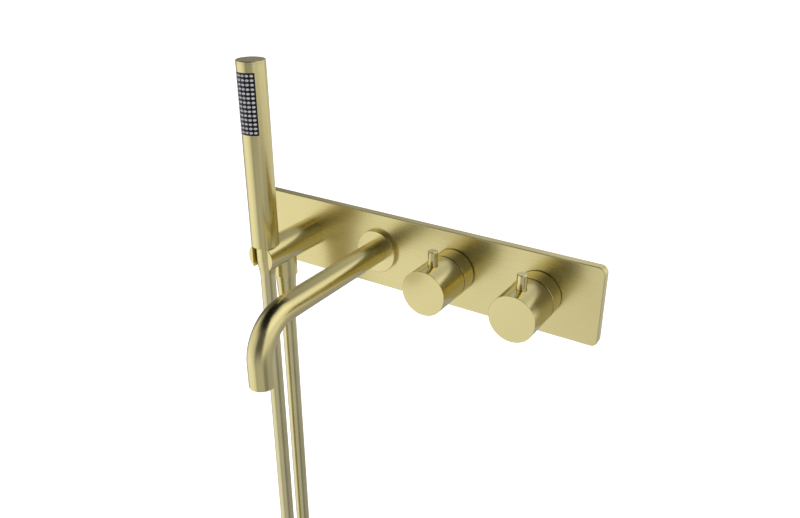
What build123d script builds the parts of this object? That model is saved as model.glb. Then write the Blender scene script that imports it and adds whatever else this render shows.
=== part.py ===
from build123d import *
from math import cos, radians, sin, tan
import os

# Wall mounted bath filler: a face plate with two knobs, a bent spout and a stick handset in a fork, fed by
# a brass body that is set in the wall. Millimetres. The wall's surface is the plane y = 0, the room is on
# the -Y side, +Z is up, and the origin is the centre of the plate's rear face.

# ---- driving dimensions ----
PITCH = 80.0
HOLDER_X, SPOUT_X, DIVERTER_X, THERMO_X = (PITCH * k for k in (-1.5, -0.5, 0.5, 1.5))

PLATE_W, PLATE_H, PLATE_T = 347.0, 71.0, 7.5
PLATE_CORNER_R = 6.0
PLATE_FRONT = -PLATE_T

KNOB_R = 19.95
KNOB_FRONT, KNOB_BACK, KNOB_FACE_BACK = -60.8, -25.1, -54.0
KNOB_SKIRT_BORE_R = 16.6
HUB_R, HUB_BORE_R, HUB_BACK = 12.0, 9.05, -32.0
GRUB_Y, GRUB_R = -40.0, 2.0
COLLAR_R, COLLAR_FRONT, COLLAR_BACK, COLLAR_BORE_R = 20.1, -24.3, -8.5, 17.7
SEAL_R = 19.5   # the black rings that show as thin dark lines before and behind the collar
PIN_R, PIN_Y, PIN_TOP = 4.2, -45.0, 33.0

SPOUT_R, SPOUT_WALL = 10.75, 1.6
SPOUT_BEND_R, SPOUT_REACH, SPOUT_END_Z = 33.0, 173.3, -53.8
SPOUT_GRUB_Y = -15.5
AERATOR_R = 7.7
FLANGE_R, FLANGE_T = 20.3, 4.3

ARM_R, ARM_END = 14.0, -80.0
OUTLET_Y, OUTLET_COLLAR_R = -47.1, 11.2
ARM_WATER_R = 5.0
SLOT_HALF = 9.2
POCKET_R, POCKET_FLOOR = 12.9, 10.9

HANDSET_R, HANDSET_WALL = 12.6, 1.5
HANDSET_Y, HANDSET_BOTTOM, HANDSET_TOP = -71.9, 11.2, 177.0
CAP_T = 1.9
SPRAY_LOW, SPRAY_HIGH, SPRAY_HALF_ANGLE = 115.7, 168.0, 48.5
SPRAY_TURN = 4.5
NOZZLE_COLUMNS, NOZZLE_ROWS = 5, 14
NOZZLE_STEP_ANGLE, NOZZLE_STEP_Z = 18.0, 3.65

HOSE_R = 6.9
NUT_FRONT_R, NUT_FRONT_END = 8.85, -17.0
NUT_REAR_R, NUT_REAR_TOP, NUT_REAR_END = 9.8, -27.9, -75.0
HOSE_GAP = 0.3
UNION_R, UNION_END, FLANGE_SEAT = 7.5, -40.0, -45.0
FERRULE_R, HOSE_BORE_R = 6.25, 4.0

BODY_Y0, BODY_Y1, BODY_Z0, BODY_Z1, BODY_HALF_X = 14.0, 42.0, -16.0, 12.0, 138.0
GALLERY_Y, GALLERY_Z, GALLERY_R = 32.0, -2.0, 6.0
PORT_R = 5.0
BOSS_FRONT = 2.5
VALVE_BOSS_R, VALVE_BORE_R = 17.5, 14.6
PLATE_HOLE_R = 18.6
PIPE_BOSS_R, NIPPLE_R = 13.5, 9.0
INLET_X, INLET_Y, INLET_R, INLET_BORE_R, INLET_END = 75.0, 28.0, 10.48, 7.0, -34.5
BRACKET_T, BRACKET_HALF_X, BRACKET_Z0, BRACKET_Z1 = 2.5, 156.0, -33.0, 12.0
FIXING_X, FIXING_Z, FIXING_R = 148.0, (4.0, -25.0), 3.25
SCREW_X, SCREW_Z, SCREW_R = (-100.0, -20.0, 20.0, 100.0), 5.0, 2.5

CARTRIDGE_BACK, CARTRIDGE_STEP, CARTRIDGE_FRONT = 25.0, 10.0, -14.0
CARTRIDGE_R, NECK_R, CAVITY_R = 14.5, 12.5, 11.4
SPINDLE_R, SPINDLE_FRONT = 4.0, -50.0
CARTRIDGE_RING_Y, CARTRIDGE_RING_R = 17.0, 14.0
RETAINER_R, RETAINER_FRONT, RETAINER_THREAD_R = 17.2, -16.0, 14.5
RETAINER_RING_Y, RETAINER_RING_R = -9.0, 17.0
DISC_PORT_X, DISC_PORT_R = 5.5, 3.0

FIT = 0.05      # clearance of a push fit between two pieces of one body
RUNNING = 0.08  # radial clearance of a shaft in its bearing

# The hose's route, from the union under the arm to the handset: two plumb legs and a hanging loop.
HOSE_ROUTE = [
    (HOLDER_X, OUTLET_Y, NUT_REAR_END),
    (HOLDER_X, OUTLET_Y, -402.0),
    (-42.0, -20.0, -504.0),
    (-46.0, -23.0, -566.0),
    (-83.0, -48.0, -606.0),
    (-134.0, -83.0, -607.0),
    (-170.0, -109.0, -568.0),
    (-175.0, -113.0, -507.0),
    (HOLDER_X, HANDSET_Y, -404.0),
    (HOLDER_X, HANDSET_Y, NUT_FRONT_END - HOSE_GAP),
]


# ---- helpers ----
def rod_x(y, z, radius, x0, x1):
    return Pos((x0 + x1) / 2, y, z) * Rot(0, 90, 0) * Cylinder(radius, x1 - x0)


def rod_y(x, z, radius, y0, y1):
    return Pos(x, (y0 + y1) / 2, z) * Rot(90, 0, 0) * Cylinder(radius, y1 - y0)


def rod_z(x, y, radius, z0, z1):
    return Pos(x, y, (z0 + z1) / 2) * Cylinder(radius, z1 - z0)


def block(x0, x1, y0, y1, z0, z1):
    return Pos((x0 + x1) / 2, (y0 + y1) / 2, (z0 + z1) / 2) * Box(x1 - x0, y1 - y0, z1 - z0)


def turned_y(x, outline):
    """A lathe part whose axis is parallel to Y: the outline is a list of (y, radius)."""
    face = make_face(Polyline([(x + r, y, 0) for y, r in outline], close=True))
    return revolve(face, Axis((x, 0, 0), (0, 1, 0)))


def turned_z(x, y, outline):
    """A lathe part whose axis is parallel to Z: the outline is a list of (z, radius)."""
    face = make_face(Polyline([(x + r, y, z) for z, r in outline], close=True))
    return revolve(face, Axis((x, y, 0), (0, 0, 1)))


def ring_y(x, y, ring_radius, cord_radius):
    return Pos(x, y, 0) * Rot(90, 0, 0) * Torus(ring_radius, cord_radius)


def front_edges(shape, radius):
    """The circular edges of one radius on the front face of a part that is turned about Y."""
    face = shape.faces().sort_by(Axis.Y)[0]
    return [e for e in face.edges() if e.geom_type == GeomType.CIRCLE and abs(e.radius - radius) < 0.01]


def handset_sector(inner, outer, half_angle, z0, z1):
    """A curved panel of the handset's wall, centred on the spray direction."""
    far = 3 * outer
    side = far * sin(radians(half_angle))
    front = -far * cos(radians(half_angle))
    wedge = extrude(make_face(Polyline([(0, 0), (-side, front), (side, front)], close=True)), z1 - z0)
    shell = Cylinder(outer, z1 - z0) - Cylinder(inner, z1 - z0)
    panel = (Pos(0, 0, (z1 - z0) / 2) * shell) & wedge
    return Pos(HOLDER_X, HANDSET_Y, z0) * Rot(0, 0, SPRAY_TURN) * panel


def nozzle_rods(radius, inner, outer):
    """One radial rod for every nozzle of the spray face."""
    rods = []
    middle = (SPRAY_LOW + SPRAY_HIGH) / 2
    for column in range(NOZZLE_COLUMNS):
        angle = SPRAY_TURN + (column - (NOZZLE_COLUMNS - 1) / 2) * NOZZLE_STEP_ANGLE
        for row in range(NOZZLE_ROWS):
            z = middle + (row - (NOZZLE_ROWS - 1) / 2) * NOZZLE_STEP_Z
            rods.append(Pos(HOLDER_X, HANDSET_Y, z) * Rot(0, 0, angle) * rod_y(0, 0, radius, -outer, -inner))
    return rods


# ---- face plate and wall side ----
def backplate():
    outline = RectangleRounded(PLATE_W, PLATE_H, PLATE_CORNER_R)
    plate = extrude(Plane.XZ * outline, PLATE_T)
    plate = fillet(plate.faces().sort_by(Axis.Y)[0].edges(), 0.7)
    for x in (DIVERTER_X, THERMO_X):
        plate -= rod_y(x, 0, PLATE_HOLE_R, -PLATE_T - 1, 1)
    plate -= rod_y(SPOUT_X, 0, PIPE_BOSS_R, -PLATE_T - 1, 1)
    plate -= rod_y(HOLDER_X, 0, ARM_R - 2, -PLATE_T - 1, 1)
    return plate - gasket_ring(3.0, 1.5 + FIT)


def gasket_ring(width, depth):
    outer = RectangleRounded(PLATE_W - 14, PLATE_H - 14, 4.0)
    inner = RectangleRounded(PLATE_W - 14 - 2 * width, PLATE_H - 14 - 2 * width, 2.0)
    return extrude(Plane.XZ * (outer - inner), depth)


def wall_gasket():
    outer = RectangleRounded(PLATE_W - 14.2, PLATE_H - 14.2, 3.9)
    inner = RectangleRounded(PLATE_W - 19.8, PLATE_H - 19.8, 2.1)
    return extrude(Plane.XZ * (outer - inner), 1.5)


def valve_body():
    bar = block(-BODY_HALF_X, BODY_HALF_X, BODY_Y0, BODY_Y1, BODY_Z0, BODY_Z1)
    bar = fillet(bar.edges().filter_by(Axis.X), 4.0)
    for x in (DIVERTER_X, THERMO_X):
        bar += rod_y(x, 0, VALVE_BOSS_R, BOSS_FRONT, GALLERY_Y)
    for x in (HOLDER_X, SPOUT_X):
        bar += rod_y(x, 0, PIPE_BOSS_R, BOSS_FRONT, GALLERY_Y)
    for x in (-INLET_X, INLET_X):
        bar += rod_z(x, INLET_Y, 13.0, BODY_Z0 - 4, BODY_Z0 + 6)
    for x in (DIVERTER_X, THERMO_X):
        bar -= rod_y(x, 0, VALVE_BORE_R, BOSS_FRONT - 1, CARTRIDGE_BACK + FIT)
        bar -= rod_y(x, 0, PORT_R, CARTRIDGE_BACK, GALLERY_Y)
    for x in (HOLDER_X, SPOUT_X):
        bar -= rod_y(x, 0, NIPPLE_R + FIT, BOSS_FRONT - 1, GALLERY_Y)
    bar -= rod_x(GALLERY_Y, GALLERY_Z, GALLERY_R, -BODY_HALF_X - 1, BODY_HALF_X + 1)
    for x in (-INLET_X, INLET_X):
        bar -= rod_z(x, INLET_Y, 9.5 + FIT, BODY_Z0 - 5, BODY_Z0 + 4)
        bar -= rod_z(x, INLET_Y, INLET_BORE_R, BODY_Z0 - 5, GALLERY_Z)
    for x in SCREW_X:
        bar -= rod_y(x, SCREW_Z, SCREW_R + FIT, BODY_Y1 - 5.2, BODY_Y1 + 1)
    return bar


def gallery_plugs():
    plugs = []
    for side in (-1, 1):
        head = rod_x(GALLERY_Y, GALLERY_Z, 9.0, BODY_HALF_X + FIT, BODY_HALF_X + 3)
        socket = rod_x(GALLERY_Y, GALLERY_Z, 3.0, BODY_HALF_X + 1, BODY_HALF_X + 4)
        thread = rod_x(GALLERY_Y, GALLERY_Z, GALLERY_R - FIT, BODY_HALF_X - 9, BODY_HALF_X + 1)
        plug = head + thread - socket
        plugs.append(plug if side > 0 else mirror(plug, Plane.YZ))
    return Compound(plugs)


def mounting_bracket():
    plate = block(-BRACKET_HALF_X, BRACKET_HALF_X, BODY_Y1 + FIT, BODY_Y1 + BRACKET_T, BRACKET_Z0, BRACKET_Z1)
    plate = fillet(plate.edges().filter_by(Axis.Y), 6.0)
    for x in (-FIXING_X, FIXING_X):
        for z in FIXING_Z:
            plate -= rod_y(x, z, FIXING_R, BODY_Y1 - 1, BODY_Y1 + 4)
    for x in SCREW_X:
        plate -= rod_y(x, SCREW_Z, SCREW_R + 0.25, BODY_Y1 - 1, BODY_Y1 + 4)
    return plate


def bracket_screws():
    back = BODY_Y1 + BRACKET_T + FIT
    screws = []
    for x in SCREW_X:
        screw = rod_y(x, SCREW_Z, SCREW_R, BODY_Y1 - 5, back + 1) + rod_y(x, SCREW_Z, 4.6, back, back + 2.8)
        screws.append(screw - rod_y(x, SCREW_Z, 1.6, back + 1, back + 4))
    return Compound(screws)


def inlet_union(x):
    top = BODY_Z0 + 4 - FIT
    foot = BODY_Z0 - 4 - FIT
    union = rod_z(x, INLET_Y, 9.5, foot - 1, top)
    hexagon = extrude(RegularPolygon(13.0, 6), 5.0)
    union += Pos(x, INLET_Y, foot - 5) * hexagon
    union += rod_z(x, INLET_Y, INLET_R, INLET_END, foot - 4)
    return union - rod_z(x, INLET_Y, INLET_BORE_R, INLET_END - 1, top + 1)


def check_valves():
    z0, z1 = -26.0, -13.0
    valves = []
    for x in (-INLET_X, INLET_X):
        case = rod_z(x, INLET_Y, INLET_BORE_R - FIT, z0, z1) - rod_z(x, INLET_Y, 4.6, z0 - 1, z1 - 4)
        for k in range(4):
            a = radians(45 + 90 * k)
            case -= rod_z(x + 3.6 * cos(a), INLET_Y + 3.6 * sin(a), 1.6, z0 - 1, z1 + 1)
        valves.append(case)
    return Compound(valves)


def inlet_filters():
    z0 = -33.0
    filters = []
    for x in (-INLET_X, INLET_X):
        cup = rod_z(x, INLET_Y, INLET_BORE_R - FIT, z0, z0 + 6) - rod_z(x, INLET_Y, 6.2, z0 + 0.8, z0 + 7)
        for i in range(-2, 3):
            for j in range(-2, 3):
                if i * i + j * j < 8:
                    cup -= rod_z(x + 2.1 * i, INLET_Y + 2.1 * j, 0.7, z0 - 1, z0 + 2)
        filters.append(cup)
    return Compound(filters)


# ---- valve cartridges ----


def cartridge_housing(x):
    shell = turned_y(x, [
        (CARTRIDGE_FRONT, SPINDLE_R + RUNNING), (CARTRIDGE_FRONT, NECK_R), (CARTRIDGE_STEP, NECK_R),
        (CARTRIDGE_STEP, CARTRIDGE_R), (CARTRIDGE_BACK, CARTRIDGE_R), (CARTRIDGE_BACK, CAVITY_R),
        (CARTRIDGE_FRONT + 2, CAVITY_R), (CARTRIDGE_FRONT + 2, SPINDLE_R + RUNNING),
    ])
    return shell - ring_y(x, CARTRIDGE_RING_Y, CARTRIDGE_RING_R, 0.65)


def cartridge_o_rings():
    return Compound([ring_y(x, CARTRIDGE_RING_Y, CARTRIDGE_RING_R, 0.58) for x in (DIVERTER_X, THERMO_X)])


def retaining_nut(x):
    bore = NECK_R + 0.2
    seat, foot = BOSS_FRONT - FIT, CARTRIDGE_STEP - FIT
    nut = turned_y(x, [
        (RETAINER_FRONT, bore), (RETAINER_FRONT, RETAINER_R), (seat, RETAINER_R), (seat, RETAINER_THREAD_R),
        (foot, RETAINER_THREAD_R), (foot, bore),
    ])
    for k in range(6):
        key_slot = block(x - 1.5, x + 1.5, RETAINER_FRONT - 1, RETAINER_FRONT + 3, 0, RETAINER_R + 1)
        nut -= key_slot.rotate(Axis((x, 0, 0), (0, 1, 0)), 60 * k)
    return nut - ring_y(x, RETAINER_RING_Y, RETAINER_RING_R, 0.75)


def collar_o_rings():
    return Compound([ring_y(x, RETAINER_RING_Y, RETAINER_RING_R, 0.68) for x in (DIVERTER_X, THERMO_X)])


def collar(x):
    web = COLLAR_FRONT + 2.5
    return turned_y(x, [
        (COLLAR_FRONT, 6.0), (COLLAR_FRONT, COLLAR_R - 0.2), (COLLAR_FRONT + 0.2, COLLAR_R),
        (COLLAR_BACK - 0.2, COLLAR_R), (COLLAR_BACK, COLLAR_R - 0.2), (COLLAR_BACK, COLLAR_BORE_R),
        (web, COLLAR_BORE_R), (web, 6.0),
    ])


def flat_rings(outer, inner, y0, y1):
    """One flat ring about each knob's axis."""
    rings = []
    for x in (DIVERTER_X, THERMO_X):
        rings.append(rod_y(x, 0, outer, y0, y1) - rod_y(x, 0, inner, y0 - 1, y1 + 1))
    return Compound(rings)


def collar_seals():
    return flat_rings(SEAL_R, PLATE_HOLE_R + 0.1, COLLAR_BACK + FIT, PLATE_FRONT - FIT)


def knob_slip_washers():
    return flat_rings(SEAL_R, KNOB_SKIRT_BORE_R + 0.2, KNOB_BACK + 0.1, COLLAR_FRONT - FIT)


def diverter_fixed_disc():
    disc = rod_y(DIVERTER_X, 0, CAVITY_R - FIT, 18.0, 22.0)
    for dx in (-DISC_PORT_X, DISC_PORT_X):
        disc -= rod_y(DIVERTER_X + dx, 0, DISC_PORT_R, 17, 23)
    return disc


def diverter_moving_disc():
    disc = rod_y(DIVERTER_X, 0, 10.4, 13.7, 17.7)
    disc -= rod_y(DIVERTER_X + DISC_PORT_X, 0, DISC_PORT_R, 13, 18)
    return disc - block(DIVERTER_X - 8, DIVERTER_X - 3, 13, 15.5, -2, 2)


def spindle(x, drive_y):
    shaft = rod_y(x, 0, SPINDLE_R, SPINDLE_FRONT, drive_y - 1)
    head = turned_y(x, [(drive_y - 4.0, 0.0), (drive_y - 4.0, 9.6), (drive_y, 9.6), (drive_y, 0.0)])
    groove = rod_y(x, 0, SPINDLE_R + 1, -9.5, -8.0) - rod_y(x, 0, 3.2, -10, -7)
    return shaft + head - groove


def diverter_spindle():
    tongue = block(DIVERTER_X - 7.9, DIVERTER_X - 3.1, 13.0, 15.4, -1.9, 1.9)
    return spindle(DIVERTER_X, 13.65) + tongue


def thermostat_spindle():
    return spindle(THERMO_X, -4.0)


def thermostat_element():
    return turned_y(THERMO_X, [
        (-1.6, 0.0), (-1.6, 2.0), (2.0, 2.0), (2.0, 4.5), (16.0, 4.5), (18.0, 3.0), (20.0, 3.0), (20.0, 0.0),
    ])


def thermostat_piston():
    piston = turned_y(THERMO_X, [
        (5.0, 4.55), (5.0, 11.0), (8.0, 11.0), (8.0, 9.6),
        (11.0, 9.6), (11.0, 11.0), (14.0, 11.0), (14.0, 4.55),
    ])
    for k in range(4):
        a = radians(45 + 90 * k)
        piston -= rod_y(THERMO_X + 7.2 * cos(a), 7.2 * sin(a), 1.5, 4, 15)
    return piston


# ---- knobs ----


def knob(x):
    cup = turned_y(x, [
        (KNOB_FRONT, 0.0), (KNOB_FRONT, KNOB_R - 0.2), (KNOB_FRONT + 0.2, KNOB_R),
        (KNOB_BACK - 0.2, KNOB_R), (KNOB_BACK, KNOB_R - 0.2), (KNOB_BACK, KNOB_SKIRT_BORE_R),
        (KNOB_FACE_BACK, KNOB_SKIRT_BORE_R), (KNOB_FACE_BACK, HUB_R), (HUB_BACK, HUB_R),
        (HUB_BACK, HUB_BORE_R), (KNOB_FACE_BACK, HUB_BORE_R), (KNOB_FACE_BACK, 0.0),
    ])
    cup -= rod_z(x, PIN_Y, PIN_R + 0.3, 18.6, KNOB_R + 1)
    cup -= rod_z(x, PIN_Y, 2.5 + FIT, HUB_BORE_R + 0.5, 19)
    return cup - rod_z(x, GRUB_Y, GRUB_R + FIT, -KNOB_R - 1, -8)


def knob_adapter(x):
    sleeve = rod_y(x, 0, HUB_BORE_R - FIT, KNOB_FACE_BACK + FIT, HUB_BACK)
    return sleeve - rod_y(x, 0, SPINDLE_R + FIT, SPINDLE_FRONT - 0.5, HUB_BACK + 1)


def knob_pin(x):
    foot = 18.65
    return turned_z(x, PIN_Y, [
        (HUB_BORE_R + 1.0, 0.0), (HUB_BORE_R + 1.0, 2.5), (foot, 2.5), (foot, PIN_R), (PIN_TOP - 0.4, PIN_R),
        (PIN_TOP, PIN_R - 0.4), (PIN_TOP, 0.0),
    ])


def grub_screw_up(x, y, z0, z1):
    """A headless set screw that is driven upwards, with a socket in its lower end."""
    return rod_z(x, y, GRUB_R, z0, z1) - rod_z(x, y, GRUB_R / 2, z0 - 1, z0 + 1.5)


# ---- spout ----
def threaded_nipple(x):
    nipple = rod_y(x, 0, NIPPLE_R, -5.5, 20.0)
    nipple += Pos(x, -1.0, 0) * extrude(Plane.XZ * RegularPolygon(11.5, 6), 4.5)
    nipple += rod_y(x, 0, 8.6, -23.0, -5.0)
    nipple -= rod_y(x, 0, 6.0, -24, 21)
    for y in (-12.0, -19.0):
        nipple -= rod_y(x, 0, 9.5, y - 0.8, y + 0.8) - rod_y(x, 0, 7.9, y - 1, y + 1)
    return nipple


def nipple_o_rings(x):
    return Compound([ring_y(x, y, 8.52, 0.6) for y in (-12.0, -19.0)])


def spout_flange():
    front = PLATE_FRONT - FLANGE_T
    return turned_y(SPOUT_X, [
        (front, SPOUT_R + FIT), (front, FLANGE_R - 0.4), (front + 0.4, FLANGE_R),
        (PLATE_FRONT - FIT, FLANGE_R),
        (PLATE_FRONT - FIT, SPOUT_R + FIT),
    ])


def spout_tube():
    start = PLATE_FRONT - FIT
    corner = (SPOUT_X, -SPOUT_REACH, 0)
    outlet = (SPOUT_X, -SPOUT_REACH, SPOUT_END_Z)
    path = FilletPolyline((SPOUT_X, start, 0), corner, outlet, radius=SPOUT_BEND_R)
    section = Circle(SPOUT_R) - Circle(SPOUT_R - SPOUT_WALL)
    tube = sweep(Plane((SPOUT_X, start, 0), z_dir=(0, -1, 0)) * section, path)
    return tube - rod_z(SPOUT_X, SPOUT_GRUB_Y, GRUB_R + FIT, -12, -8)


def spout_grub_screw():
    return grub_screw_up(SPOUT_X, SPOUT_GRUB_Y, -10.6, -8.65)


def aerator_housing():
    outer = SPOUT_R - SPOUT_WALL - FIT
    return turned_z(SPOUT_X, -SPOUT_REACH, [
        (SPOUT_END_Z + 0.8, AERATOR_R), (SPOUT_END_Z + 0.8, outer), (-46.0, outer), (-46.0, AERATOR_R),
    ])


def aerator_insert():
    z0, z1 = SPOUT_END_Z + 1.4, -47.0
    disc = rod_z(SPOUT_X, -SPOUT_REACH, AERATOR_R - FIT, z0, z1)
    for i in range(-3, 4):
        for j in range(-3, 4):
            dx, dy = 2.2 * i + 1.1 * (j % 2), 1.9 * j
            if dx * dx + dy * dy < 6.4 ** 2:
                disc -= rod_z(SPOUT_X + dx, -SPOUT_REACH + dy, 0.8, z0 - 1, z1 + 1)
    return disc


def aerator_washer():
    outer = SPOUT_R - SPOUT_WALL - FIT
    return rod_z(SPOUT_X, -SPOUT_REACH, outer, -45.9, -44.2) - rod_z(SPOUT_X, -SPOUT_REACH, 6.5, -47, -43)


# ---- handset holder and hose outlet ----
def holder_arm():
    arm = rod_y(HOLDER_X, 0, ARM_R, ARM_END, PLATE_FRONT - FIT)
    arm = chamfer(front_edges(arm, ARM_R), 0.4)
    arm -= rod_z(HOLDER_X, HANDSET_Y, SLOT_HALF, -20, 20)
    arm -= block(HOLDER_X - SLOT_HALF, HOLDER_X + SLOT_HALF, ARM_END - 1, HANDSET_Y, -20, 20)
    arm -= rod_z(HOLDER_X, HANDSET_Y, POCKET_R, POCKET_FLOOR, 20)
    arm -= rod_y(HOLDER_X, 0, NIPPLE_R + 0.15, -25, 0)
    arm -= rod_y(HOLDER_X, 0, 6.0, OUTLET_Y, -20)
    return arm - rod_z(HOLDER_X, OUTLET_Y, ARM_WATER_R, -20, 0)


def hose_outlet_collar():
    foot = NUT_REAR_TOP + 0.4
    piece = rod_z(HOLDER_X, OUTLET_Y, OUTLET_COLLAR_R, foot, 0)
    piece -= rod_y(HOLDER_X, 0, ARM_R + 0.02, -65, -30)
    piece += rod_z(HOLDER_X, OUTLET_Y, UNION_R - FIT, UNION_END, foot)
    return piece - rod_z(HOLDER_X, OUTLET_Y, ARM_WATER_R, UNION_END - 1, 0)


def hose_rear_washer():
    low, high = UNION_END - 2.0, UNION_END - 0.1
    washer = rod_z(HOLDER_X, OUTLET_Y, UNION_R - 0.1, low, high)
    return washer - rod_z(HOLDER_X, OUTLET_Y, HOSE_BORE_R, low - 1, high + 1)


def hose_rear_nut():
    return turned_z(HOLDER_X, OUTLET_Y, [
        (NUT_REAR_TOP, UNION_R), (NUT_REAR_TOP, NUT_REAR_R - 0.3), (NUT_REAR_TOP - 0.3, NUT_REAR_R),
        (NUT_REAR_END, HOSE_R + 0.2), (NUT_REAR_END, FERRULE_R + FIT), (FLANGE_SEAT, FERRULE_R + FIT),
        (FLANGE_SEAT, UNION_R),
    ])


def hose_rear_ferrule():
    tail = rod_z(HOLDER_X, OUTLET_Y, FERRULE_R, NUT_REAR_END + FIT, FLANGE_SEAT + 1)
    flange = rod_z(HOLDER_X, OUTLET_Y, UNION_R - 0.1, FLANGE_SEAT + 0.1, UNION_END - 2.1)
    return tail + flange - rod_z(HOLDER_X, OUTLET_Y, HOSE_BORE_R, NUT_REAR_END - 1, UNION_END - 2)


# ---- hose ----
def route_radii(points):
    """The radius of each corner: 0.45 of the shorter run over the tangent of half the turn."""
    radii = []
    for before, corner, after in zip(points, points[1:], points[2:]):
        run_in, run_out = Vector(*corner) - Vector(*before), Vector(*after) - Vector(*corner)
        half_turn = radians(run_in.get_angle(run_out) / 2)
        radii.append(0.45 * min(run_in.length, run_out.length) / tan(half_turn))
    return radii


def shower_hose():
    radii = route_radii(HOSE_ROUTE)
    path = FilletPolyline(*HOSE_ROUTE, radius=radii)
    hose = sweep(Plane(HOSE_ROUTE[0], z_dir=(0, 0, -1)) * Circle(HOSE_R), path)
    print("hose length", round(path.length, 1), "radii", [round(r) for r in radii])
    print("volume over section times length", round(hose.volume / (Circle(HOSE_R).area * path.length), 5))
    return hose


def hose_front_ferrule():
    piece = rod_z(HOLDER_X, HANDSET_Y, 5.2, NUT_FRONT_END, -7) + rod_z(HOLDER_X, HANDSET_Y, 6.6, -8.6, -5.3)
    return piece - rod_z(HOLDER_X, HANDSET_Y, 3.6, -18, -5)


# ---- handset ----
def handset_nut():
    return turned_z(HOLDER_X, HANDSET_Y, [
        (HANDSET_BOTTOM - 0.1, 7.0), (HANDSET_BOTTOM - 0.1, NUT_FRONT_R), (-3.0, NUT_FRONT_R), (-10.5, 8.2),
        (NUT_FRONT_END, HOSE_R + 0.2), (NUT_FRONT_END, 5.2 + RUNNING), (-9.0, 5.2 + RUNNING), (-9.0, 7.0),
    ])


def handset_washer():
    return rod_z(HOLDER_X, HANDSET_Y, 6.7, -4.9, -3.1) - rod_z(HOLDER_X, HANDSET_Y, 4.0, -5, -3)


def handset_connector():
    piece = rod_z(HOLDER_X, HANDSET_Y, 6.95, -3.0, 12) + rod_z(HOLDER_X, HANDSET_Y, 11.05, HANDSET_BOTTOM, 24)
    return piece - rod_z(HOLDER_X, HANDSET_Y, 4.0, -4, 25)


def flow_limiter():
    return rod_z(HOLDER_X, HANDSET_Y, 3.95, 14, 18) - rod_z(HOLDER_X, HANDSET_Y, 1.5, 13, 19)


def handset_tube():
    top = HANDSET_TOP - CAP_T - 0.1
    bore = HANDSET_R - HANDSET_WALL
    tube = turned_z(HOLDER_X, HANDSET_Y, [
        (HANDSET_BOTTOM, bore), (HANDSET_BOTTOM, HANDSET_R - 0.4), (HANDSET_BOTTOM + 0.4, HANDSET_R),
        (top, HANDSET_R), (top, bore),
    ])
    return tube - handset_sector(bore - 1, HANDSET_R + 1, SPRAY_HALF_ANGLE, SPRAY_LOW, SPRAY_HIGH)


def handset_cap():
    low = HANDSET_TOP - CAP_T
    spigot = HANDSET_R - HANDSET_WALL - FIT
    return turned_z(HOLDER_X, HANDSET_Y, [
        (low - 3.0, 0.0), (low - 3.0, spigot), (low, spigot), (low, HANDSET_R),
        (HANDSET_TOP - 0.5, HANDSET_R),
        (HANDSET_TOP, HANDSET_R - 0.5), (HANDSET_TOP, 0.0),
    ])


def spray_insert():
    panel = handset_sector(10.35, HANDSET_R - 0.15, SPRAY_HALF_ANGLE - 0.4, SPRAY_LOW + 0.1, SPRAY_HIGH - 0.1)
    return panel - nozzle_rods(0.98, 9.0, 14.0)


def spray_nozzles():
    sheet = handset_sector(9.2, 10.3, SPRAY_HALF_ANGLE - 3, SPRAY_LOW + 0.6, SPRAY_HIGH - 0.6)
    return sheet + nozzle_rods(0.92, 9.8, HANDSET_R + 0.55)


def handset_waterway():
    z0, z1 = 24.1, 170.0
    tube = rod_z(HOLDER_X, HANDSET_Y, 8.0, z0, z1) - rod_z(HOLDER_X, HANDSET_Y, 6.5, z0 - 1, z1 - 1.5)
    window = Rot(0, 0, SPRAY_TURN) * block(-4.5, 4.5, -9, 0, SPRAY_LOW + 3, SPRAY_HIGH - 3)
    return tube - Pos(HOLDER_X, HANDSET_Y, 0) * window


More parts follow.
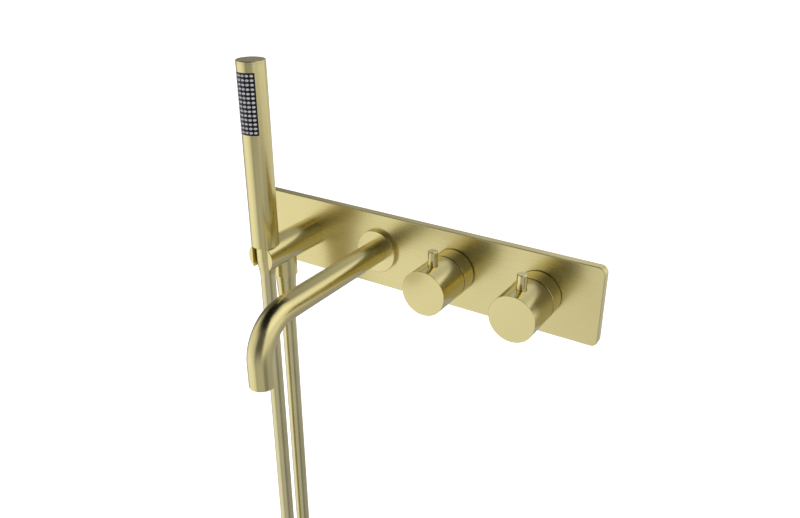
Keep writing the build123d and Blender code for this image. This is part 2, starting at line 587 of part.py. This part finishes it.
# ---- every node, by name ----
NODES = {
    "backplate": backplate,
    "wall_gasket": wall_gasket,
    "valve_body": valve_body,
    "gallery_plugs": gallery_plugs,
    "mounting_bracket": mounting_bracket,
    "bracket_screws": bracket_screws,
    "hot_inlet_union": lambda: inlet_union(-INLET_X),
    "cold_inlet_union": lambda: inlet_union(INLET_X),
    "check_valves": check_valves,
    "inlet_filters": inlet_filters,
    "cartridge_o_rings": cartridge_o_rings,
    "collar_o_rings": collar_o_rings,
    "diverter_cartridge_housing": lambda: cartridge_housing(DIVERTER_X),
    "diverter_retaining_nut": lambda: retaining_nut(DIVERTER_X),
    "collar_seals": collar_seals,
    "knob_slip_washers": knob_slip_washers,
    "diverter_collar": lambda: collar(DIVERTER_X),
    "diverter_fixed_disc": diverter_fixed_disc,
    "diverter_moving_disc": diverter_moving_disc,
    "diverter_spindle": diverter_spindle,
    "diverter_knob": lambda: knob(DIVERTER_X),
    "diverter_knob_adapter": lambda: knob_adapter(DIVERTER_X),
    "diverter_knob_pin": lambda: knob_pin(DIVERTER_X),
    "diverter_grub_screw": lambda: grub_screw_up(DIVERTER_X, GRUB_Y, -17.5, -HUB_BORE_R),
    "thermostat_cartridge_housing": lambda: cartridge_housing(THERMO_X),
    "thermostat_retaining_nut": lambda: retaining_nut(THERMO_X),
    "temperature_collar": lambda: collar(THERMO_X),
    "thermostat_spindle": thermostat_spindle,
    "thermostat_element": thermostat_element,
    "thermostat_piston": thermostat_piston,
    "temperature_knob": lambda: knob(THERMO_X),
    "temperature_knob_adapter": lambda: knob_adapter(THERMO_X),
    "temperature_knob_pin": lambda: knob_pin(THERMO_X),
    "temperature_grub_screw": lambda: grub_screw_up(THERMO_X, GRUB_Y, -17.5, -HUB_BORE_R),
    "spout_nipple": lambda: threaded_nipple(SPOUT_X),
    "spout_o_rings": lambda: nipple_o_rings(SPOUT_X),
    "spout_flange": spout_flange,
    "spout_tube": spout_tube,
    "spout_grub_screw": spout_grub_screw,
    "aerator_housing": aerator_housing,
    "aerator_insert": aerator_insert,
    "aerator_washer": aerator_washer,
    "holder_arm": holder_arm,
    "holder_nipple": lambda: threaded_nipple(HOLDER_X),
    "holder_o_rings": lambda: nipple_o_rings(HOLDER_X),
    "hose_outlet_collar": hose_outlet_collar,
    "hose_rear_washer": hose_rear_washer,
    "hose_rear_nut": hose_rear_nut,
    "hose_rear_ferrule": hose_rear_ferrule,
    "shower_hose": shower_hose,
    "hose_front_ferrule": hose_front_ferrule,
    "handset_nut": handset_nut,
    "handset_washer": handset_washer,
    "handset_connector": handset_connector,
    "flow_limiter": flow_limiter,
    "handset_tube": handset_tube,
    "handset_cap": handset_cap,
    "spray_insert": spray_insert,
    "spray_nozzles": spray_nozzles,
    "handset_waterway": handset_waterway,
}

os.makedirs("parts", exist_ok=True)
for name, make in NODES.items():
    export_step(make(), f"parts/{name}.step")
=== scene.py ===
from math import cos, inf, pi, radians, sin

import bmesh
import bpy
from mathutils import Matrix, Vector


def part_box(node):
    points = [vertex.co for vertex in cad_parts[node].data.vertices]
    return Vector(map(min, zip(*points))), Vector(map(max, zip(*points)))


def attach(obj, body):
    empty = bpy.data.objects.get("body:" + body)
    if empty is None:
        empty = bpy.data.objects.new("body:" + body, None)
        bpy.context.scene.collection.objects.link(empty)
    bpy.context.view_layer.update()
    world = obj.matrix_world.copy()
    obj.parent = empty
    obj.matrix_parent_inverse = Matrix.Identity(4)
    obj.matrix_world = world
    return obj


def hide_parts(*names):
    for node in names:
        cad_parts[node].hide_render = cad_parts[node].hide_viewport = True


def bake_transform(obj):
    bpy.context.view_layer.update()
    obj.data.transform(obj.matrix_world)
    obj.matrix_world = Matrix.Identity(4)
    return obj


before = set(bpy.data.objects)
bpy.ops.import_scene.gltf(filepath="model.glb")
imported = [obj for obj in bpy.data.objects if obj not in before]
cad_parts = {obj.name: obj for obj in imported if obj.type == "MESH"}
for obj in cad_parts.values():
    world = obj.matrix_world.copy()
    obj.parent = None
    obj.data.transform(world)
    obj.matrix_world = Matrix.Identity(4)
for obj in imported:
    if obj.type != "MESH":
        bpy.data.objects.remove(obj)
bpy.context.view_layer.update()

# All lengths are metres, in the CAD's frame: the wall is y = 0, the room is on -Y and +Z is up.
# The angles in these values are degrees.

# ---- camera ----
CAMERA_PLACE = (0.3265, -0.5468, 0.2954)
CAMERA_AZIMUTH, CAMERA_ELEVATION = 32.418, 25.041
CAMERA_LENS = 34.65
CAMERA_NEAR, CAMERA_FAR = 0.01, 100

# ---- hose: the CAD's route, with one more point on each plumb leg ----
HOSE_LENGTH, HOSE_RADIUS = 1.25, 0.0069
HOSE_STEPS, HOSE_SIDES = 40, 40
HOSE_ROUTE = [
    (-0.120, -0.0471, -0.0750),
    (-0.120, -0.0471, -0.2710),
    (-0.120, -0.0471, -0.4020),
    (-0.042, -0.0200, -0.5040),
    (-0.046, -0.0230, -0.5660),
    (-0.083, -0.0480, -0.6060),
    (-0.134, -0.0830, -0.6070),
    (-0.170, -0.1090, -0.5680),
    (-0.175, -0.1130, -0.5070),
    (-0.120, -0.0719, -0.4040),
    (-0.120, -0.0719, -0.2800),
    (-0.120, -0.0719, -0.0168),
]
WRAP_PITCH = 0.0016

# ---- spray nozzles: widths are shares of the half width and half height, rises are from the spray face ----
NOZZLE_COLUMNS, NOZZLE_ROWS = 5, 14
NOZZLE_ANGLE, NOZZLE_PITCH = 18.0, 0.00365
SPRAY_TURN, SPRAY_RADIUS = 4.5, 0.01245
NOZZLE_HALF_WIDTH, NOZZLE_HALF_HEIGHT, NOZZLE_SIDES = 0.00148, 0.00104, 20
NOZZLE_ROOT, NOZZLE_RIM, NOZZLE_TOP, NOZZLE_FLAT = -0.00060, 0.00010, 0.00068, 0.42
NOZZLE_HOLE = [(0.34, 0.00066), (0.29, 0.00058), (0.27, 0.0)]

# ---- inlet unions: a spigot, a hexagon and a parallel pipe thread, from the top down ----
UNION_BORE, UNION_SIDES = 0.0070, 96
SPIGOT_R, SPIGOT_LENGTH = 0.0095, 0.0080
HEX_CORNER_R, HEX_CAP_R, HEX_LENGTH = 0.0130, 0.0128, 0.0050
THREAD_MAJOR, THREAD_MINOR, THREAD_PITCH = 0.01048, 0.00932, 0.001814
THREAD_FLAT, THREAD_UPPER_LAND, THREAD_LOWER_LAND = 0.1, 0.00085, 0.0006
THREAD_ROWS, THREAD_ROWS_IN, THREAD_ROWS_OUT = 64, 10, 6
UNION_END_CHAMFER = 0.0003

# ---- bracket screws: a pan head with a hexagon socket ----
SCREW_PLACES = (-0.100, -0.020, 0.020, 0.100)
SCREW_R, SCREW_TIP_CHAMFER, SCREW_SIDES = 0.0025, 0.0005, 48
HEAD_R, HEAD_FLAT_R, HEAD_HEIGHT, HEAD_RIM = 0.0046, 0.0022, 0.0028, 0.0012
SOCKET_R, SOCKET_DEPTH = 0.0017, 0.0016

# ---- floor ----
FLOOR_Z, FLOOR_RADIUS, FLOOR_SIDES = -0.68, 16, 96

# Edges of turned pieces that bend by more than this stay crisp.
CRISP_ANGLE = 58


# ---- camera and helpers ----
def add_camera():
    data = bpy.data.cameras.new("camera")
    data.lens = CAMERA_LENS
    data.clip_start = CAMERA_NEAR
    data.clip_end = CAMERA_FAR
    camera = bpy.data.objects.new("camera", data)
    camera.location = CAMERA_PLACE
    camera.rotation_euler = (radians(90 - CAMERA_ELEVATION), 0, radians(CAMERA_AZIMUTH))
    bpy.context.collection.objects.link(camera)
    bpy.context.scene.camera = camera


def middle(node):
    """The middle of a CAD node's box."""
    low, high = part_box(node)
    return (low + high) / 2


def circle(sides):
    """The turns, in radians, of points that share a circle evenly."""
    return [2 * pi * i / sides for i in range(sides)]


def skin(bm, low, high, smooth=True):
    """A band of faces between two rings of vertices."""
    faces = []
    for i in range(len(low)):
        j = (i + 1) % len(low)
        face = bm.faces.new((low[i], low[j], high[j], high[i]))
        face.smooth = smooth
        faces.append(face)
    return faces


def cap_ends(bm, rings):
    """Closes the first and the last of a row of rings."""
    return bm.faces.new(rings[0][::-1]), bm.faces.new(rings[-1])


def make_object(name, bm):
    bmesh.ops.recalc_face_normals(bm, faces=bm.faces)
    mesh = bpy.data.meshes.new(name)
    bm.to_mesh(mesh)
    bm.free()
    obj = bpy.data.objects.new(name, mesh)
    bpy.context.collection.objects.link(obj)
    return obj


def dome(rim, foot, flat, top, steps=4):
    """A quarter ellipse from a rim up to a flat top, as pairs of radius and height."""
    turns = [pi / 2 * k / steps for k in range(steps + 1)]
    return [(flat + (rim - flat) * cos(turn), foot + (top - foot) * sin(turn)) for turn in turns]


# ---- hose ----
def smooth_line(points):
    """The points along a NURBS curve through a route."""
    curve = bpy.data.curves.new("route", "CURVE")
    curve.dimensions = "3D"
    curve.resolution_u = HOSE_STEPS
    spline = curve.splines.new("NURBS")
    spline.points.add(len(points) - 1)
    for slot, point in zip(spline.points, points):
        slot.co = (*point, 1)
    spline.order_u = 3
    spline.use_endpoint_u = True
    carrier = bpy.data.objects.new("route", curve)
    line = bpy.data.meshes.new_from_object(carrier)
    places = [v.co.copy() for v in line.vertices]
    bpy.data.objects.remove(carrier)
    return places


def tube(name, line, radius, sides):
    """A closed tube along a line, with its turn and its length as UV coordinates."""
    bm = bmesh.new()
    side = Vector((1, 0, 0))
    rings = []
    run = [0.0]
    for k, place in enumerate(line):
        ahead = (line[min(k + 1, len(line) - 1)] - line[max(k - 1, 0)]).normalized()
        side = (side - ahead * side.dot(ahead)).normalized()
        up = ahead.cross(side)
        rings.append([
            bm.verts.new(place + radius * (cos(turn) * side + sin(turn) * up))
            for turn in circle(sides)
        ])
        if k:
            run.append(run[-1] + (place - line[k - 1]).length)
    uv = bm.loops.layers.uv.new("along")
    for k in range(len(rings) - 1):
        for i, face in enumerate(skin(bm, rings[k], rings[k + 1])):
            corners = ((i, run[k]), (i + 1, run[k]), (i + 1, run[k + 1]), (i, run[k + 1]))
            for loop, (turn, length) in zip(face.loops, corners):
                loop[uv].uv = (turn / sides, length)
    for end in cap_ends(bm, rings):
        for edge in end.edges:
            edge.smooth = False
    return make_object(name, bm)


def add_hose():
    line = smooth_line(HOSE_ROUTE)
    hose = tube("hose", line, HOSE_RADIUS, HOSE_SIDES)
    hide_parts("shower_hose")
    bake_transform(hose)
    return hose


# ---- spray nozzles ----
def add_nozzle(bm, root, out, across):
    """A soft oval nub with a small hole, on a point of the spray face."""
    outline = [(1.0, NOZZLE_ROOT), *dome(1.0, NOZZLE_RIM, NOZZLE_FLAT, NOZZLE_TOP), *NOZZLE_HOLE]
    rings = []
    for share, rise in outline:
        ring = []
        for turn in circle(NOZZLE_SIDES):
            place = root + rise * out + share * NOZZLE_HALF_WIDTH * cos(turn) * across
            place.z += share * NOZZLE_HALF_HEIGHT * sin(turn)
            ring.append(bm.verts.new(place))
        rings.append(ring)
    for low, high in zip(rings, rings[1:]):
        skin(bm, low, high)
    cap_ends(bm, rings)


def add_nozzles():
    """The nozzles' columns and rows, round the handset's axis and along it."""
    axis = middle("handset_cap")
    middle_z = middle("spray_insert").z
    bm = bmesh.new()
    for column in range(NOZZLE_COLUMNS):
        angle = radians(SPRAY_TURN + (column - (NOZZLE_COLUMNS - 1) / 2) * NOZZLE_ANGLE)
        out = Vector((sin(angle), -cos(angle), 0))
        across = Vector((cos(angle), sin(angle), 0))
        for row in range(NOZZLE_ROWS):
            z = middle_z + (row - (NOZZLE_ROWS - 1) / 2) * NOZZLE_PITCH
            add_nozzle(bm, Vector((axis.x, axis.y, z)) + SPRAY_RADIUS * out, out, across)
    nozzles = make_object("nozzles", bm)
    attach(nozzles, "handset")
    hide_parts("spray_nozzles")
    return nozzles


# ---- turned pieces: a row is its height, its radius at a turn, and whether the surface is smooth there ----
def round_row(height, radius):
    return height, lambda turn: radius, True


def hex_row(height, corner, cap=inf):
    """A row of a hexagon whose corners are turned down to a cap radius."""
    return height, lambda turn: min(cap, corner * cos(pi / 6) / cos(turn % (pi / 3) - pi / 6)), False


def thread_row(height, depth_share):
    """A row across a helical thread: each turn is one pitch further along."""

    def radius(turn):
        flank = abs(2 * ((height / THREAD_PITCH + turn / (2 * pi)) % 1) - 1)
        rise = min(1, max(0, (flank - THREAD_FLAT) / (1 - 2 * THREAD_FLAT)))
        return THREAD_MINOR + depth_share * rise * (THREAD_MAJOR - THREAD_MINOR)

    return height, radius, True


def lathe(bm, place, axes, rows, sides, closed):
    """Rings of vertices about an axis, skinned in order. A closed outline has a bore, an open one caps."""
    across, up, along = (Vector(axis) for axis in axes)
    rings = []
    for height, radius, _ in rows:
        centre = Vector(place) + height * along
        rings.append([
            bm.verts.new(centre + radius(turn) * (cos(turn) * across + sin(turn) * up))
            for turn in circle(sides)
        ])
    for k in range(len(rings) if closed else len(rings) - 1):
        following = (k + 1) % len(rings)
        skin(bm, rings[k], rings[following], rows[k][2] and rows[following][2])
    if not closed:
        cap_ends(bm, rings)


def add_union(name, node):
    """One inlet union, with its axis upright where the CAD node's is."""
    end, top = (corner.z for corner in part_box(node))
    hex_top = top - SPIGOT_LENGTH
    hex_foot = hex_top - HEX_LENGTH
    thread_top = hex_foot - THREAD_UPPER_LAND
    thread_step = (thread_top - THREAD_LOWER_LAND - end) / THREAD_ROWS
    rows = [
        round_row(top, SPIGOT_R),
        round_row(hex_top, SPIGOT_R),
        hex_row(hex_top, HEX_CORNER_R, HEX_CAP_R),
        hex_row(hex_foot, HEX_CORNER_R, HEX_CAP_R),
        round_row(hex_foot, THREAD_MINOR),
    ]
    for k in range(THREAD_ROWS + 1):
        depth_share = min(1, k / THREAD_ROWS_IN, (THREAD_ROWS - k) / THREAD_ROWS_OUT)
        rows.append(thread_row(thread_top - k * thread_step, depth_share))
    rows += [
        round_row(end, THREAD_MINOR - UNION_END_CHAMFER),
        round_row(end, UNION_BORE),
        round_row(top, UNION_BORE),
    ]
    axis = middle(node)
    bm = bmesh.new()
    lathe(bm, (axis.x, axis.y, 0), ((1, 0, 0), (0, 1, 0), (0, 0, 1)), rows, UNION_SIDES, closed=True)
    union = make_object(name, bm)
    union.data.set_sharp_from_angle(angle=radians(CRISP_ANGLE))
    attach(union, "root")
    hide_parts(node)
    return union


def add_screws():
    """Pan head screws with a hexagon socket, through the bracket into the body."""
    tip, back = (corner.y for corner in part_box("bracket_screws"))
    seat = back - HEAD_HEIGHT
    head = dome(HEAD_R, seat + HEAD_RIM, HEAD_FLAT_R, back)
    rows = [
        round_row(tip, SCREW_R - SCREW_TIP_CHAMFER),
        round_row(tip + SCREW_TIP_CHAMFER, SCREW_R),
        round_row(seat, SCREW_R),
        round_row(seat, HEAD_R),
        *(round_row(height, radius) for radius, height in head),
        hex_row(back, SOCKET_R),
        hex_row(back - SOCKET_DEPTH, SOCKET_R),
    ]
    z = middle("bracket_screws").z
    bm = bmesh.new()
    for x in SCREW_PLACES:
        lathe(bm, (x, 0, z), ((1, 0, 0), (0, 0, -1), (0, 1, 0)), rows, SCREW_SIDES, closed=False)
    screws = make_object("bracket_screw_set", bm)
    screws.data.set_sharp_from_angle(angle=radians(CRISP_ANGLE))
    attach(screws, "root")
    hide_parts("bracket_screws")
    return screws


# ---- materials ----
class Nodes:
    """A few calls that keep a node tree short to write."""

    def __init__(self, tree):
        self.tree = tree

    def add(self, kind, **settings):
        node = self.tree.nodes.new("ShaderNode" + kind)
        for key, value in settings.items():
            setattr(node, key, value)
        return node

    def link(self, source, target):
        self.tree.links.new(source, target)

    def math(self, operation, first, second=None):
        node = self.add("Math", operation=operation)
        for socket, value in zip(node.inputs, (first, second)):
            if isinstance(value, (int, float)):
                socket.default_value = value
            elif value is not None:
                self.link(value, socket)
        return node.outputs[0]

    def ramp(self, source, low, high, to_low=0.0, to_high=1.0):
        node = self.add("MapRange", interpolation_type="SMOOTHSTEP")
        self.link(source, node.inputs["Value"])
        for name, value in zip(("From Min", "From Max", "To Min", "To Max"), (low, high, to_low, to_high)):
            node.inputs[name].default_value = value
        return node.outputs["Result"]

    def noise(self, scale, detail, turn=(0, 0, 0)):
        """Noise over the piece's own coordinates, stretched by a scale for each axis, in 1/m."""
        place = self.add("TexCoord")
        mapping = self.add("Mapping")
        mapping.inputs["Rotation"].default_value = turn
        mapping.inputs["Scale"].default_value = scale
        self.link(place.outputs["Object"], mapping.inputs["Vector"])
        noise = self.add("TexNoise")
        noise.inputs["Scale"].default_value = 1.0
        noise.inputs["Detail"].default_value = detail
        self.link(mapping.outputs["Vector"], noise.inputs["Vector"])
        return noise.outputs["Fac"]

    def mix(self, factor, first, second):
        node = self.add("Mix", data_type="RGBA")
        self.link(factor, node.inputs["Factor"])
        node.inputs["A"].default_value = (*first, 1)
        node.inputs["B"].default_value = (*second, 1)
        return node.outputs["Result"]

    def bump(self, height, depth):
        node = self.add("Bump")
        node.inputs["Strength"].default_value = 1.0
        node.inputs["Distance"].default_value = depth
        self.link(height, node.inputs["Height"])
        return node.outputs["Normal"]


# Noise scales are in 1/m. A span is the part of the noise's values that a ramp spreads over its whole range.
LONG, FINE = 25.0, 2200.0
SLOW_CLOUDS, HOSE_CLOUDS, PLASTIC_DRIFT = 3 * (14,), 3 * (30,), 3 * (60,)
SPAN, WIDE_SPAN = (0.3, 0.7), (0.25, 0.75)
GOLD_LIGHT, GOLD_DARK = (0.79, 0.695, 0.335), (0.75, 0.655, 0.305)
HOSE_LIGHT, HOSE_DARK = (0.77, 0.69, 0.37), (0.72, 0.64, 0.335)


def new_material(name):
    material = bpy.data.materials.new(name)
    material.use_nodes = True
    shader = material.node_tree.nodes["Principled BSDF"]
    return material, Nodes(material.node_tree), shader.inputs


def brushed_gold(name, grain, turn=(0, 0, 0), roughness=(0.19, 0.26), depth=3e-6, share=0.5):
    """Brushed pale gold: fine hairlines across the stretched axes, and slow clouds under them."""
    material, n, shader = new_material(name)
    hairline = n.noise(grain, detail=4.0, turn=turn)
    clouds = n.noise(SLOW_CLOUDS, detail=2.0)
    shade = n.math("ADD", n.math("MULTIPLY", hairline, share), n.math("MULTIPLY", clouds, 1 - share))
    n.link(n.mix(n.ramp(shade, *SPAN), GOLD_DARK, GOLD_LIGHT), shader["Base Color"])
    n.link(n.ramp(hairline, *SPAN, *roughness), shader["Roughness"])
    n.link(n.bump(hairline, depth), shader["Normal"])
    shader["Metallic"].default_value = 1.0
    return material


def metal(name, dark, light, roughness, grain, depth):
    """Plain worked metal: turned or cast, with grain in its colour, gloss and surface."""
    material, n, shader = new_material(name)
    speckle = n.noise(grain, detail=5.0)
    n.link(n.mix(n.ramp(speckle, *SPAN), dark, light), shader["Base Color"])
    n.link(n.ramp(speckle, *WIDE_SPAN, *roughness), shader["Roughness"])
    n.link(n.bump(speckle, depth), shader["Normal"])
    shader["Metallic"].default_value = 1.0
    return material


def moulded(name, dark, light, roughness, grain, depth, specular=0.5):
    """Moulded plastic, rubber or ceramic: a fine tooled grain over a soft drift of colour."""
    material, n, shader = new_material(name)
    drift = n.noise(PLASTIC_DRIFT, detail=2.0)
    speckle = n.noise((grain, grain, grain), detail=3.0)
    n.link(n.mix(n.ramp(drift, *SPAN), dark, light), shader["Base Color"])
    n.link(n.ramp(speckle, *SPAN, *roughness), shader["Roughness"])
    n.link(n.bump(speckle, depth), shader["Normal"])
    shader["Specular IOR Level"].default_value = specular
    return material


def hose_skin(name, roughness, depth, coat, coat_roughness):
    """A smooth metallic skin over a fine spiral wrap, which climbs one pitch for each turn."""
    material, n, shader = new_material(name)
    place = n.add("TexCoord")
    parts = n.add("SeparateXYZ")
    n.link(place.outputs["UV"], parts.inputs["Vector"])
    turns = n.math("ADD", n.math("MULTIPLY", parts.outputs["Y"], 1 / WRAP_PITCH), parts.outputs["X"])
    wave = n.math("SINE", n.math("MULTIPLY", turns, 2 * pi))
    wrap = n.ramp(wave, -1.0, 1.0)
    clouds = n.noise(HOSE_CLOUDS, detail=2.0)
    n.link(n.mix(n.ramp(clouds, *SPAN), HOSE_DARK, HOSE_LIGHT), shader["Base Color"])
    n.link(n.ramp(clouds, *SPAN, *roughness), shader["Roughness"])
    n.link(n.bump(wrap, depth), shader["Normal"])
    shader["Metallic"].default_value = 1.0
    shader["Coat Weight"].default_value = coat
    shader["Coat Roughness"].default_value = coat_roughness
    return material


MATERIALS = {
    "plate_gold": brushed_gold(
        "plate_gold", (0.5 * LONG, 1.5 * FINE, 1.5 * FINE), roughness=(0.27, 0.29), depth=4e-7, share=0.10,
    ),
    "gold_about_y": brushed_gold("gold_about_y", (LONG, FINE, LONG)),
    "gold_about_z": brushed_gold("gold_about_z", (LONG, LONG, FINE)),
    "spout_gold": brushed_gold("spout_gold", (LONG, FINE, LONG), turn=(radians(45), 0, 0)),
    "raw_brass": metal(
        "raw_brass", dark=(0.62, 0.45, 0.19), light=(0.67, 0.50, 0.22), roughness=(0.34, 0.44),
        grain=(1100, 1100, 1100), depth=3e-5,
    ),
    "steel": metal(
        "steel", dark=(0.48, 0.49, 0.50), light=(0.60, 0.60, 0.60), roughness=(0.28, 0.42),
        grain=(60, 900, 900), depth=2e-5,
    ),
    "seal_rubber": moulded(
        "seal_rubber", dark=(0.012, 0.012, 0.013), light=(0.022, 0.022, 0.023), roughness=(0.55, 0.75),
        grain=1800, depth=3e-5,
    ),
    "valve_plastic": moulded(
        "valve_plastic", dark=(0.55, 0.54, 0.50), light=(0.63, 0.62, 0.58), roughness=(0.40, 0.52),
        grain=1500, depth=2e-5,
    ),
    "ceramic_disc": moulded(
        "ceramic_disc", dark=(0.80, 0.79, 0.76), light=(0.86, 0.85, 0.82), roughness=(0.12, 0.20),
        grain=900, depth=5e-6,
    ),
    "black_plastic": moulded(
        "black_plastic", dark=(0.005, 0.005, 0.005), light=(0.010, 0.010, 0.010), roughness=(0.32, 0.44),
        grain=1600, depth=2e-5, specular=0.35,
    ),
    "nozzle_silicone": moulded(
        "nozzle_silicone", dark=(0.90, 0.88, 0.91), light=(0.97, 0.95, 0.98), roughness=(0.26, 0.38),
        grain=1400, depth=1e-5,
    ),
    "hose_skin": hose_skin(
        "hose_skin", roughness=(0.17, 0.22), depth=1.5e-6, coat=0.1, coat_roughness=0.15,
    ),
}

# Nodes that are not named here are moulded valve plastic.
FINISH = {
    "plate_gold": ["backplate"],
    "gold_about_y": [
        "diverter_collar", "diverter_knob", "temperature_collar", "temperature_knob", "spout_flange",
        "holder_arm",
    ],
    "gold_about_z": [
        "diverter_knob_pin", "temperature_knob_pin", "hose_outlet_collar", "hose_rear_nut", "handset_nut",
        "handset_tube", "handset_cap",
    ],
    "spout_gold": ["spout_tube"],
    "raw_brass": [
        "valve_body", "gallery_plugs", "hot_inlet_union", "cold_inlet_union", "diverter_retaining_nut",
        "thermostat_retaining_nut", "diverter_spindle", "thermostat_spindle", "spout_nipple",
        "holder_nipple", "hose_rear_ferrule", "hose_front_ferrule", "handset_connector",
        "thermostat_element",
    ],
    "steel": [
        "mounting_bracket", "bracket_screws", "diverter_grub_screw", "temperature_grub_screw",
        "spout_grub_screw", "inlet_filters",
    ],
    "seal_rubber": [
        "wall_gasket", "cartridge_o_rings", "collar_o_rings", "collar_seals", "spout_o_rings",
        "holder_o_rings", "hose_rear_washer", "handset_washer", "aerator_washer",
    ],
    "ceramic_disc": ["diverter_fixed_disc", "diverter_moving_disc"],
    "black_plastic": ["spray_insert", "knob_slip_washers"],
    "nozzle_silicone": ["spray_nozzles"],
    "hose_skin": ["shower_hose"],
}


def finish_nodes():
    finish = {node: material for material, nodes in FINISH.items() for node in nodes}
    for name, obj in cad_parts.items():
        material = MATERIALS[finish.get(name, "valve_plastic")]
        for slot in obj.material_slots:
            slot.material = material


def finish_piece(obj, material):
    obj.data.materials.append(MATERIALS[material])


# ---- studio ----
WHITE = (1, 1, 1, 1)
FLOOR_COLOUR, FLOOR_ROUGHNESS, FLOOR_GLOW = (0.9, 0.9, 0.9, 1), 0.9, 1.0
LAMP_COLOUR, ROOM_COLOUR = (0.8, 0.8, 0.8, 1), (0.79, 0.8, 0.88, 1)
# A box's upper and lower edges are softer than its sides.
HEIGHT_SOFTNESS = 1.4


def add_floor():
    """A pale floor, too bright for shadows to show on it, which the object doesn't reflect."""
    bm = bmesh.new()
    bmesh.ops.create_circle(bm, cap_ends=True, segments=FLOOR_SIDES, radius=FLOOR_RADIUS)
    floor = make_object("floor", bm)
    floor.location.z = FLOOR_Z
    material, _, shader = new_material("floor")
    shader["Base Color"].default_value = FLOOR_COLOUR
    shader["Roughness"].default_value = FLOOR_ROUGHNESS
    shader["Emission Color"].default_value = WHITE
    shader["Emission Strength"].default_value = FLOOR_GLOW
    floor.data.materials.append(material)
    floor.visible_glossy = False
    floor.visible_diffuse = False


def add_studio():
    """Soft boxes in a dim room light the object and show in it. The camera sees plain white all round."""
    world = bpy.data.worlds.new("studio")
    bpy.context.scene.world = world
    world.use_nodes = True
    n = Nodes(world.node_tree)
    parts = n.add("SeparateXYZ")
    n.link(n.add("TexCoord").outputs["Generated"], parts.inputs["Vector"])
    x, y, z = (parts.outputs[name] for name in "XYZ")
    front = n.math("ARCTAN2", x, n.math("MULTIPLY", y, -1.0))
    right = n.math("ARCTAN2", y, x)
    height = n.math("ARCSINE", z)

    def step(source, angle, soft, low, high):
        """Goes smoothly from low to high around an angle."""
        return n.ramp(source, radians(angle - soft), radians(angle + soft), low, high)

    def box(bearing, west, east, low, high, soft, strength):
        """One soft box between two bearings and two heights, or with a strength below 0 a black flag."""
        light = n.math("MULTIPLY", step(bearing, west, soft, 0, 1), step(bearing, east, soft, 1, 0))
        light = n.math("MULTIPLY", light, step(height, low, HEIGHT_SOFTNESS * soft, 0, 1))
        light = n.math("MULTIPLY", light, step(height, high, HEIGHT_SOFTNESS * soft, 1, 0))
        return n.math("MULTIPLY", light, strength)

    # The room is lighter below than above, and its ceiling is nearly black.
    room = n.math("MULTIPLY", step(height, -8, 24, 0.46, 0.14), step(height, 46, 10, 1.0, 0.03))
    # Bearing, west and east edges, low and high edges, softness, strength.
    lamps = (
        box(front, -95, -8, -62, 35, 11, 0.66),
        box(front, -84, -32, -34, 36, 12, 0.26),
        box(front, 4, 60, -70, -6, 9, 0.20),
        box(front, 64, 94, -70, -27, 7, -0.16),
        box(right, -38, 66, -12, 70, 8, 0.90),
        box(right, -36, 48, 22, 60, 10, 0.46),
        box(right, 5, 110, -30, -8, 8, 0.22),
        box(right, 66, 112, 12, 48, 10, 0.40),
        box(right, 60, 136, -30, 54, 12, 0.24),
        box(right, 42, 66, 2, 40, 9, 0.12),
    )
    light = lamps[0]
    for lamp in lamps[1:]:
        light = n.math("ADD", light, lamp)
    room = n.math("ADD", room, box(right, 88, 128, 19, 36, 6, 0.28))
    seen = world.node_tree.nodes["Background"]
    seen.inputs["Color"].default_value = WHITE
    lit = n.add("AddShader")
    for place, strength, colour in ((0, light, LAMP_COLOUR), (1, room, ROOM_COLOUR)):
        glow = n.add("Background")
        glow.inputs["Color"].default_value = colour
        n.link(strength, glow.inputs["Strength"])
        n.link(glow.outputs[0], lit.inputs[place])
    mix = n.add("MixShader")
    n.link(n.add("LightPath").outputs["Is Camera Ray"], mix.inputs[0])
    n.link(lit.outputs[0], mix.inputs[1])
    n.link(seen.outputs[0], mix.inputs[2])
    n.link(mix.outputs[0], world.node_tree.nodes["World Output"].inputs["Surface"])


add_camera()
finish_piece(add_hose(), "hose_skin")
finish_piece(add_nozzles(), "nozzle_silicone")
finish_piece(add_union("hot_union", "hot_inlet_union"), "raw_brass")
finish_piece(add_union("cold_union", "cold_inlet_union"), "raw_brass")
finish_piece(add_screws(), "steel")
finish_nodes()
add_floor()
add_studio()
bpy.context.scene.view_settings.view_transform = "Standard"
